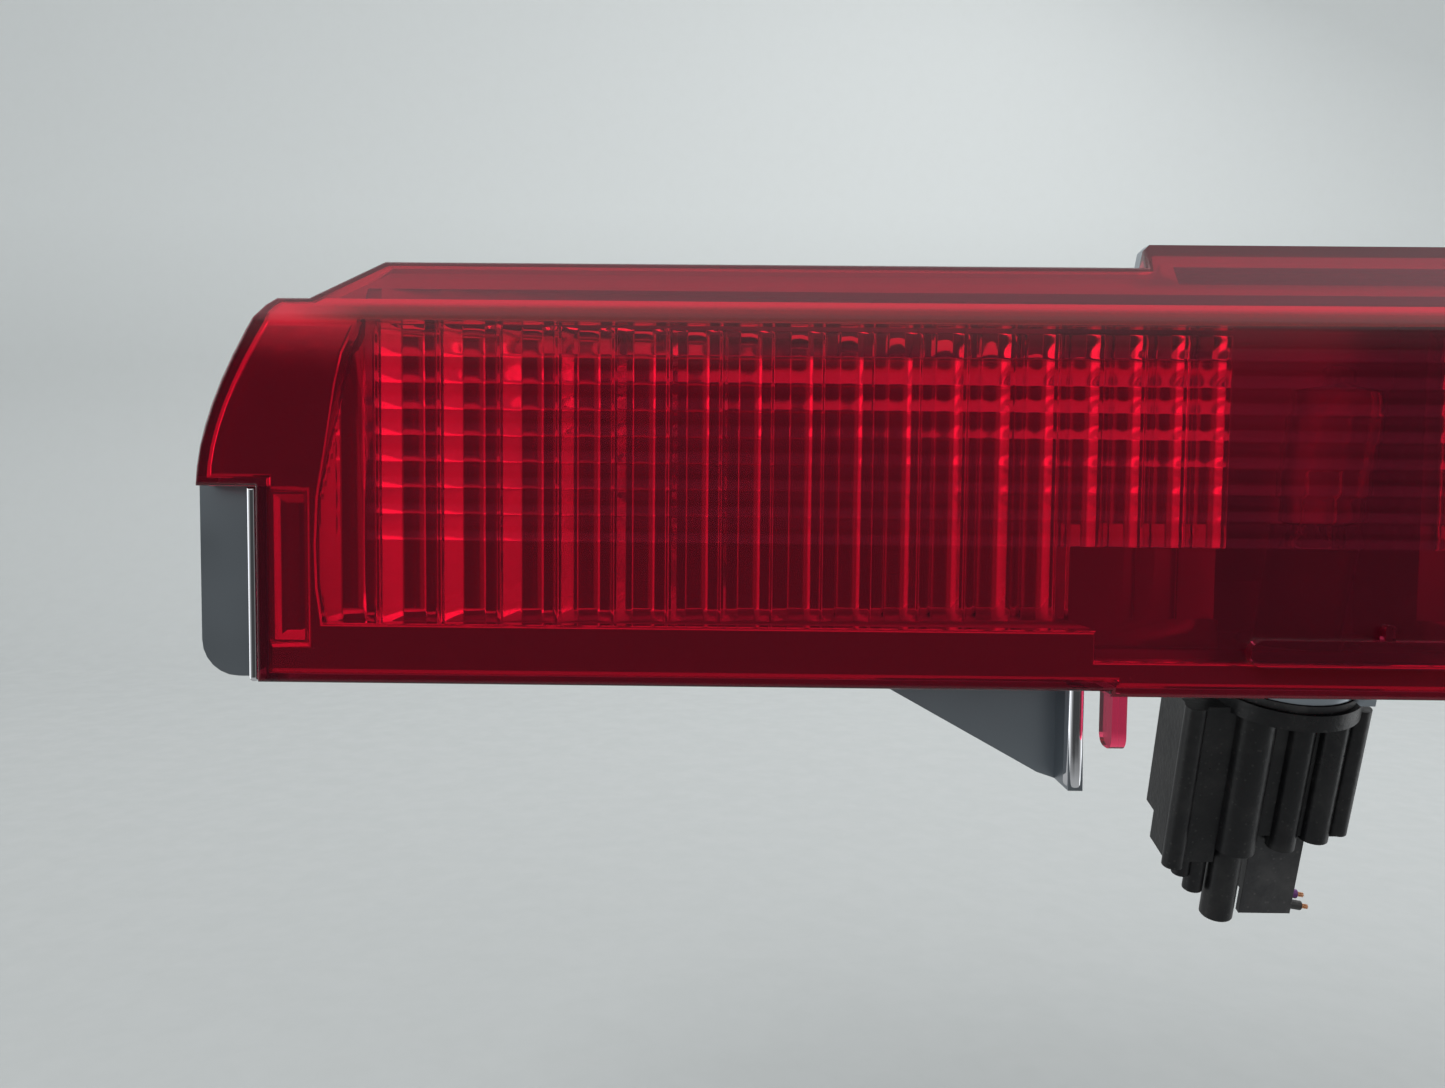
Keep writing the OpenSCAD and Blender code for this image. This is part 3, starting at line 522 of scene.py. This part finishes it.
def makeLens():
    outer = slopeCut(prism(lensOutline(0), lens["front"], lens["rim"]), 0)
    front = []
    for e in outer.edges:
        level = abs(e.verts[0].co.y - e.verts[1].co.y) < 0.01
        ahead = max(v.co.y for v in e.verts) < lens["rim"] - 0.5
        if e.calc_face_angle(0) > math.radians(15) and ahead and (level or e.verts[0].co.z > 20):
            front.append(e)
    bmesh.ops.bevel(outer, geom=front, offset=lens["round"], segments=3, profile=0.5, affect="EDGES", material=-1)
    hollow = prism(lensOutline(lens["wall"]), lens["front"] + lens["frontWall"], lens["rim"] + 1)
    steps = [("DIFFERENCE", slopeCut(hollow, lens["slopeWall"])), ("UNION", opticRows()),
             ("UNION", roundedPlate(*lens["gateRib"], "Y")), ("UNION", roundedPlate(*lens["spike"], "Y"))]
    low, high, radius = lens["leg"]
    for x in lens["legs"]:
        steps.append(("UNION", roundedPlate((x, low[1], low[2]), (x + high[0], high[1], high[2]), radius)))
    finishPiece(combine(outer, steps), "lensShell", "housing", "red_lens", node="lens", angle=30.0)


makeLens()
print("lens ready")

flutes = {
    "count": 18, "inner": 18.0, "outer": 171.4, "low": -24.5, "top": 24.2, "bay": 45.0, "clear": -11.3,
    "end": [(-24.5, 1.0), (-19, 0.2), (-12, 0), (-4, 0.4), (4, 1.8), (14, 3.4), (19, 4.6), (25, 7.4)],
    "faceY": -16.0, "midY": -2.0, "steep": 0.3, "bead": 0.1, "bow": 0.42, "rise": 2.3, "columns": 760, "rows": 22,
    "thick": 0.2, "ahead": 1.65, "limit": 20.2,
}


def bowlDepth(x):
    share = (flutes["outer"] - x) / (flutes["outer"] - flutes["inner"])
    return flutes["faceY"] + (flutes["midY"] - flutes["faceY"]) * max(0.0, min(1.0, share))


def fluteDepth(x):
    # each flute: a short steep facet towards the bulb, a round bead on its crest, then a longer bowed land
    share = (x - flutes["inner"]) / (flutes["outer"] - flutes["inner"])
    place = share * (1.163 - 0.163 * share) * flutes["count"]  # the flutes widen towards the lamp's end
    part = place - math.floor(place)
    back = bowlDepth(x) - flutes["ahead"]
    rise = min(flutes["rise"], back + flutes["limit"])  # stays behind the mirrored face's front
    bead, steep = flutes["bead"], flutes["steep"]
    if part < bead:
        t = part / bead
        return back - rise - flutes["bow"] * math.sqrt(max(0.0, 1 - (2 * t - 1) ** 2))
    if part > 1 - steep:
        t = (part - 1 + steep) / steep
        lift = t
    else:
        t = (part - bead) / (1 - steep - bead)
        lift = 1 - t - flutes["bow"] * math.sin(math.pi * t)
    return back - rise * lift


def bowlEnd(z):
    points = flutes["end"]
    for (z0, in0), (z1, in1) in zip(points, points[1:]):
        if z <= z1:
            return flutes["outer"] - in0 - (in1 - in0) * max(0.0, z - z0) / (z1 - z0)
    return flutes["outer"] - points[-1][1]


def makeFlutes():
    bm = bmesh.new()
    bmesh.ops.create_grid(bm, x_segments=flutes["columns"], y_segments=flutes["rows"], size=0.5)
    width = flutes["outer"] - flutes["inner"]
    for v in bm.verts:
        x = flutes["inner"] + (v.co.x + 0.5) * width
        z = flutes["low"] + (v.co.y + 0.5) * (flutes["top"] - flutes["low"])
        x = min(x, bowlEnd(z))
        v.co = Vector((-x, fluteDepth(x), z)) * mm
    # the bay below the bulb has no flutes
    hidden = []
    for f in bm.faces:
        middle = f.calc_center_median()
        if middle.z < flutes["clear"] * mm and middle.x > -flutes["bay"] * mm:
            hidden.append(f)
    bmesh.ops.delete(bm, geom=hidden, context="FACES")
    bmesh.ops.remove_doubles(bm, verts=bm.verts, dist=1e-7)
    bmesh.ops.recalc_face_normals(bm, faces=bm.faces)
    if sum(f.normal.y for f in bm.faces) > 0:
        bmesh.ops.reverse_faces(bm, faces=bm.faces)
    other = bmesh.ops.mirror(bm, geom=bm.verts[:] + bm.edges[:] + bm.faces[:], axis="X", merge_dist=-1)
    bmesh.ops.reverse_faces(bm, faces=[g for g in other["geom"] if isinstance(g, bmesh.types.BMFace)])
    obj = finishPiece(bm, "reflectorFlutes", "housing", "mirror_housing", mirrorCoat, angle=40.0)
    back = obj.modifiers.new("thickness", "SOLIDIFY")
    obj.modifiers.move(1, 0)
    back.thickness = flutes["thick"] * mm
    back.offset = -1


face = {
    "front": -21.15, "rear": -17.95, "inset": 1.45, "pocket": ((-179.1, -28.1), (-172.7, -2.9)),
    "slopeInset": 2.6, "bevel": 0.55, "band": 2.0, "deep": 2.2, "edge": 0.6, "bay": (45, -29.4, -10),
}


def bowlOutline():
    half = [(0, flutes["low"])]
    heights = (flutes["low"], -22, -19, -15.5, -12, -8, -4, 0, 4, 9, 14, 19, 22, flutes["top"])
    half += [(-bowlEnd(z), z) for z in heights]
    return bothHalves(half + [(0, flutes["top"])])


def pocketTool(side):
    # a dish with a narrow bevel, then a broad sloping band round its floor
    (x0, z0), (x1, z1) = face["pocket"]
    bm = box((x0, face["front"] - 0.5, z0), (x1, face["front"], z1))
    floor = max(bm.faces, key=lambda f: f.calc_center_median().y)
    for inset, depth in ((face["bevel"], 0.6), (0.5, 0.05), (face["band"], face["deep"] - 0.6)):
        bmesh.ops.inset_region(bm, faces=[floor], thickness=inset)
        bmesh.ops.translate(bm, verts=floor.verts, vec=(0, depth, 0))
    if side > 0:
        bmesh.ops.scale(bm, verts=bm.verts, vec=(-1, 1, 1))
    bmesh.ops.recalc_face_normals(bm, faces=bm.faces)
    return bm


def makeFace():
    # the mirrored face just behind the lens, open at the bowl and over the bay below the bulb
    plate = slopeCut(prism(lensOutline(face["inset"]), face["front"], face["rear"]), face["slopeInset"])
    half, low, high = face["bay"]
    steps = [("DIFFERENCE", prism(bowlOutline(), face["front"] - 1, face["rear"] + 1)),
             ("DIFFERENCE", box((-half, face["front"] - 1, low), (half, face["rear"] + 1, high))),
             ("DIFFERENCE", pocketTool(-1)), ("DIFFERENCE", pocketTool(1))]
    bm = combine(plate, steps)
    limit = (face["front"] + 0.01) * mm
    front = [e for e in bm.edges if max(v.co.y for v in e.verts) < limit and e.calc_face_angle(0) > 0.5]
    bmesh.ops.bevel(bm, geom=front, offset=face["edge"] * mm, segments=3, profile=0.5, affect="EDGES", material=-1)
    finishPiece(bm, "mirrorFace", "housing", "mirror_housing", mirrorCoat, angle=20.0)


makeFace()

chrome = {
    "notchRim": {"low": (-182.0, -23.5, -34.0), "high": (-180.45, -11.5, -2.5), "round": 0.72},
    "footEdge": {"low": (-48.1, -19.1, -51.6), "high": (-45.5, -16.4, -33.9), "round": 1.1},
}


def makeChrome():
    # polished edges that stay bright beside the satin metal
    for name, values in chrome.items():
        bm = box(values["low"], values["high"])
        frontY, lowZ = values["low"][1] + 0.01, 2 * values["low"][2] + 0.01
        edges = [e for e in bm.edges
                 if max(v.co.y for v in e.verts) < frontY or e.verts[0].co.z + e.verts[1].co.z < lowZ]
        bmesh.ops.bevel(bm, geom=edges, offset=values["round"], segments=5, profile=0.5, affect="EDGES", material=-1)
        bmesh.ops.scale(bm, verts=bm.verts, vec=(mm, mm, mm))
        bmesh.ops.mirror(bm, geom=bm.verts[:] + bm.edges[:] + bm.faces[:], axis="X", merge_dist=-1)
        bmesh.ops.recalc_face_normals(bm, faces=bm.faces)
        finishPiece(bm, name, "housing", "mirror_housing", mirrorCoat)


makeChrome()
print("mirrored face and chrome ready")

makeFlutes()
print("reflector flutes ready")

coil = {"turns": 14, "radius": 0.42, "wire": 0.06, "half": 2.5, "height": 38.8}
bulbAxis = {"place": (0, 6.5, -36.5), "lean": 15}


def onBulbAxis(bm):
    lean = Matrix.Rotation(math.radians(bulbAxis["lean"]), 4, "X")
    bmesh.ops.transform(bm, matrix=Matrix.Translation([v * mm for v in bulbAxis["place"]]) @ lean, verts=bm.verts)


def makeFilament():
    # coiled wire between its two supports
    bm = bmesh.new()
    bmesh.ops.create_circle(bm, segments=8, radius=coil["wire"] * mm, cap_ends=False)
    bmesh.ops.rotate(bm, verts=bm.verts, matrix=Matrix.Rotation(math.radians(90), 3, "X"))
    bmesh.ops.translate(bm, verts=bm.verts, vec=(-coil["half"] * mm, 0, coil["radius"] * mm))
    step = 2 * coil["half"] * mm / (coil["turns"] * 16)
    bmesh.ops.spin(bm, geom=bm.edges[:], cent=(0, 0, 0), axis=(1, 0, 0), dvec=(step, 0, 0),
                   angle=2 * math.pi * coil["turns"], steps=coil["turns"] * 16, use_merge=False)
    ends = [e for e in bm.edges if len(e.link_faces) == 1]
    bmesh.ops.holes_fill(bm, edges=ends)
    bmesh.ops.translate(bm, verts=bm.verts, vec=(0, 0, coil["height"] * mm))
    onBulbAxis(bm)
    bmesh.ops.recalc_face_normals(bm, faces=bm.faces)
    finishPiece(bm, "filamentCoil", "bulb", "bulb_wire", angle=60.0, node="bulb_filament")


makeFilament()


def finishNodes():
    # the remaining CAD nodes keep their own shape and get their finish
    for part in frame["record"]["subparts"]:
        if not nodes[part["node"]].hide_render:
            setFinish(nodes[part["node"]], finishes[part["material_slot"]])


finishNodes()


view = {"place": (-0.104, -0.199, -0.0011), "lens": 27.40, "pitch": 3.2, "yaw": 0.5, "roll": 0.55}


def makeCamera():
    pitch, yaw, roll = (math.radians(view[k]) for k in ("pitch", "yaw", "roll"))
    ahead = Vector((-math.sin(yaw) * math.cos(pitch), math.cos(yaw) * math.cos(pitch), -math.sin(pitch)))
    right = Vector((math.cos(yaw), math.sin(yaw), 0))
    up = right.cross(ahead)
    side = right * math.cos(roll) + up * math.sin(roll)
    top = up * math.cos(roll) - right * math.sin(roll)
    cam = bpy.data.objects.new("camera", bpy.data.cameras.new("camera"))
    cam.data.lens = view["lens"]
    cam.data.sensor_width = 36
    cam.data.clip_start = 0.01
    turn = Matrix((side, top, -ahead)).transposed().to_4x4()
    cam.matrix_world = Matrix.Translation(view["place"]) @ turn
    scene.collection.objects.link(cam)
    scene.camera = cam


studio = {
    "half": 0.58, "drop": 0.06, "tall": 0.165, "beside": 0.42, "low": 0.3, "high": 0.85,
    "panel": (0.84, 0.9, 3.2), "least": 0.05, "plain": 0.6, "tint": (0.96, 0.99, 1.0, 1),
}


def makeWorld():
    # bright all round, with a dark patch where a person stands in front of the lamp
    world = bpy.data.worlds.new("studio")
    world.use_nodes = True
    scene.world = world
    tree = world.node_tree
    sky = tree.nodes["Background"]
    way = addNode(tree, "SeparateXYZ", {0: addNode(tree, "TexCoord").outputs["Generated"]})
    across = addNode(tree, "Math", {0: way.outputs["X"], 1: studio["half"]}, operation="DIVIDE")
    lift = addNode(tree, "Math", {0: way.outputs["Z"], 1: studio["drop"]}, operation="ADD")
    along = addNode(tree, "Math", {0: lift.outputs[0], 1: studio["tall"]}, operation="DIVIDE")
    wide = addNode(tree, "Math", {0: across.outputs[0], 1: 4.0}, operation="POWER")
    tall = addNode(tree, "Math", {0: along.outputs[0], 1: 4.0}, operation="POWER")
    over = spread(tree, tall.outputs[0], 0.7, 2.2, interpolation_type="SMOOTHSTEP")
    beside = spread(tree, wide.outputs[0], 0.5, 2.0, 0.0, studio["beside"], interpolation_type="SMOOTHSTEP")
    free = addNode(tree, "Math", {0: over, 1: beside}, operation="MAXIMUM")
    behind = spread(tree, way.outputs["Y"], -0.1, 0.1)
    bright = addNode(tree, "Math", {0: free.outputs[0], 1: behind}, operation="MAXIMUM")
    height = spread(tree, way.outputs["Z"], -0.3, 0.6, studio["low"], studio["high"])
    level = addNode(tree, "Math", {0: bright.outputs[0], 1: height}, operation="MULTIPLY")
    aside = addNode(tree, "Math", {0: way.outputs["X"]}, operation="ABSOLUTE")
    panels = spread(tree, aside.outputs[0], studio["panel"][0], studio["panel"][1], 0.0, studio["panel"][2])
    sides = addNode(tree, "Math", {0: panels, 1: level.outputs[0]}, operation="MULTIPLY_ADD")
    tree.links.new(level.outputs[0], sides.inputs[2])
    lit = addNode(tree, "Math", {0: sides.outputs[0], 1: studio["least"]}, operation="ADD")
    seen = addNode(tree, "LightPath")  # the camera itself sees a plain grey beyond the backdrop
    total = addNode(tree, "Mix", {
        "Factor": seen.outputs["Is Camera Ray"], "A": lit.outputs[0], "B": studio["plain"]})
    tree.links.new(total.outputs[0], sky.inputs["Strength"])
    sky.inputs["Color"].default_value = studio["tint"]


lamps = {
    "keyPanel": {"place": (-0.5, -0.5, 0.75), "size": 0.5, "power": 5.5},
    "fillPanel": {"place": (0.7, -0.35, 0.25), "size": 0.4, "power": 2.2},
    "rearPanel": {"place": (0.35, 0.5, 0.9), "size": 0.6, "power": 5.5},
}


def makeLights():
    for name, values in lamps.items():
        data = bpy.data.lights.new(name, "AREA")
        data.energy = values["power"]
        data.size = values["size"]
        lamp = bpy.data.objects.new(name, data)
        lamp.location = values["place"]
        lamp.rotation_mode = "QUATERNION"
        lamp.rotation_quaternion = (Vector((0, 0, 0)) - lamp.location).to_track_quat("-Z", "Y")
        lamp.visible_glossy = False
        lamp.visible_transmission = False
        scene.collection.objects.link(lamp)


# near and far are the painted shade from the front of the floor to its back, wall the lightening painted up the wall
backdrop = {
    "half": 6.0, "rear": 0.75, "drop": 0.085, "radius": 0.3, "height": 2.0, "color": (0.54, 0.56, 0.56, 1),
    "near": 0.58, "far": 0.84, "wall": 0.4}


def makeBackdrop():
    low = cadBox[0][2] - backdrop["drop"]
    bm = bmesh.new()
    bmesh.ops.create_grid(bm, x_segments=1, y_segments=1, size=backdrop["half"])
    bmesh.ops.translate(bm, verts=bm.verts, vec=(0, backdrop["rear"] - backdrop["half"], low))
    rear = [e for e in bm.edges if all(abs(v.co.y - backdrop["rear"]) < 1e-6 for v in e.verts)]
    swept = bmesh.ops.spin(bm, geom=rear, cent=(0, backdrop["rear"], low + backdrop["radius"]), axis=(1, 0, 0),
                           angle=math.radians(90), steps=12, use_merge=False)
    last = [g for g in swept["geom_last"] if isinstance(g, bmesh.types.BMEdge)]
    wall = bmesh.ops.extrude_edge_only(bm, edges=last)
    raised = [g for g in wall["geom"] if isinstance(g, bmesh.types.BMVert)]
    bmesh.ops.translate(bm, verts=raised, vec=(0, 0, backdrop["height"]))
    mesh = bpy.data.meshes.new("backdrop")
    bm.to_mesh(mesh)
    bm.free()
    mesh.shade_smooth()
    obj = bpy.data.objects.new("backdrop", mesh)
    scene.collection.objects.link(obj)
    mat, tree, shader = newMaterial("paintedBoard")
    film = placeGroup(tree, dust, Color=backdrop["color"], Dust=(0.46, 0.46, 0.44, 1), Amount=0.08)
    place = addNode(tree, "SeparateXYZ", {0: objectPoint(tree)})
    # painted shade: the board is painted darker on the floor in front and lighter behind and up the wall
    floor = spread(tree, place.outputs["Y"], -0.1, backdrop["rear"], backdrop["near"], backdrop["far"])
    rise = spread(tree, place.outputs["Z"], low, 0.3, 0.0, backdrop["wall"])
    shade = addNode(tree, "Math", {0: floor, 1: rise}, operation="ADD")
    boardAndShade = addNode(tree, "Mix", {"Factor": 1.0}, data_type="RGBA", blend_type="MULTIPLY")
    tree.links.new(film.outputs["Color"], boardAndShade.inputs[6])
    tree.links.new(shade.outputs[0], boardAndShade.inputs[7])
    skin = placeGroup(tree, grain, Scale=120.0, Low=0.55, High=0.75)
    tree.links.new(boardAndShade.outputs[2], shader.inputs["Base Color"])
    tree.links.new(skin.outputs["Roughness"], shader.inputs["Roughness"])
    setFinish(obj, mat)
    obj.visible_glossy = False
    obj.visible_transmission = False


makeCamera()
makeWorld()
makeLights()
makeBackdrop()
scene.view_settings.view_transform = "Standard"
print("stage ready")
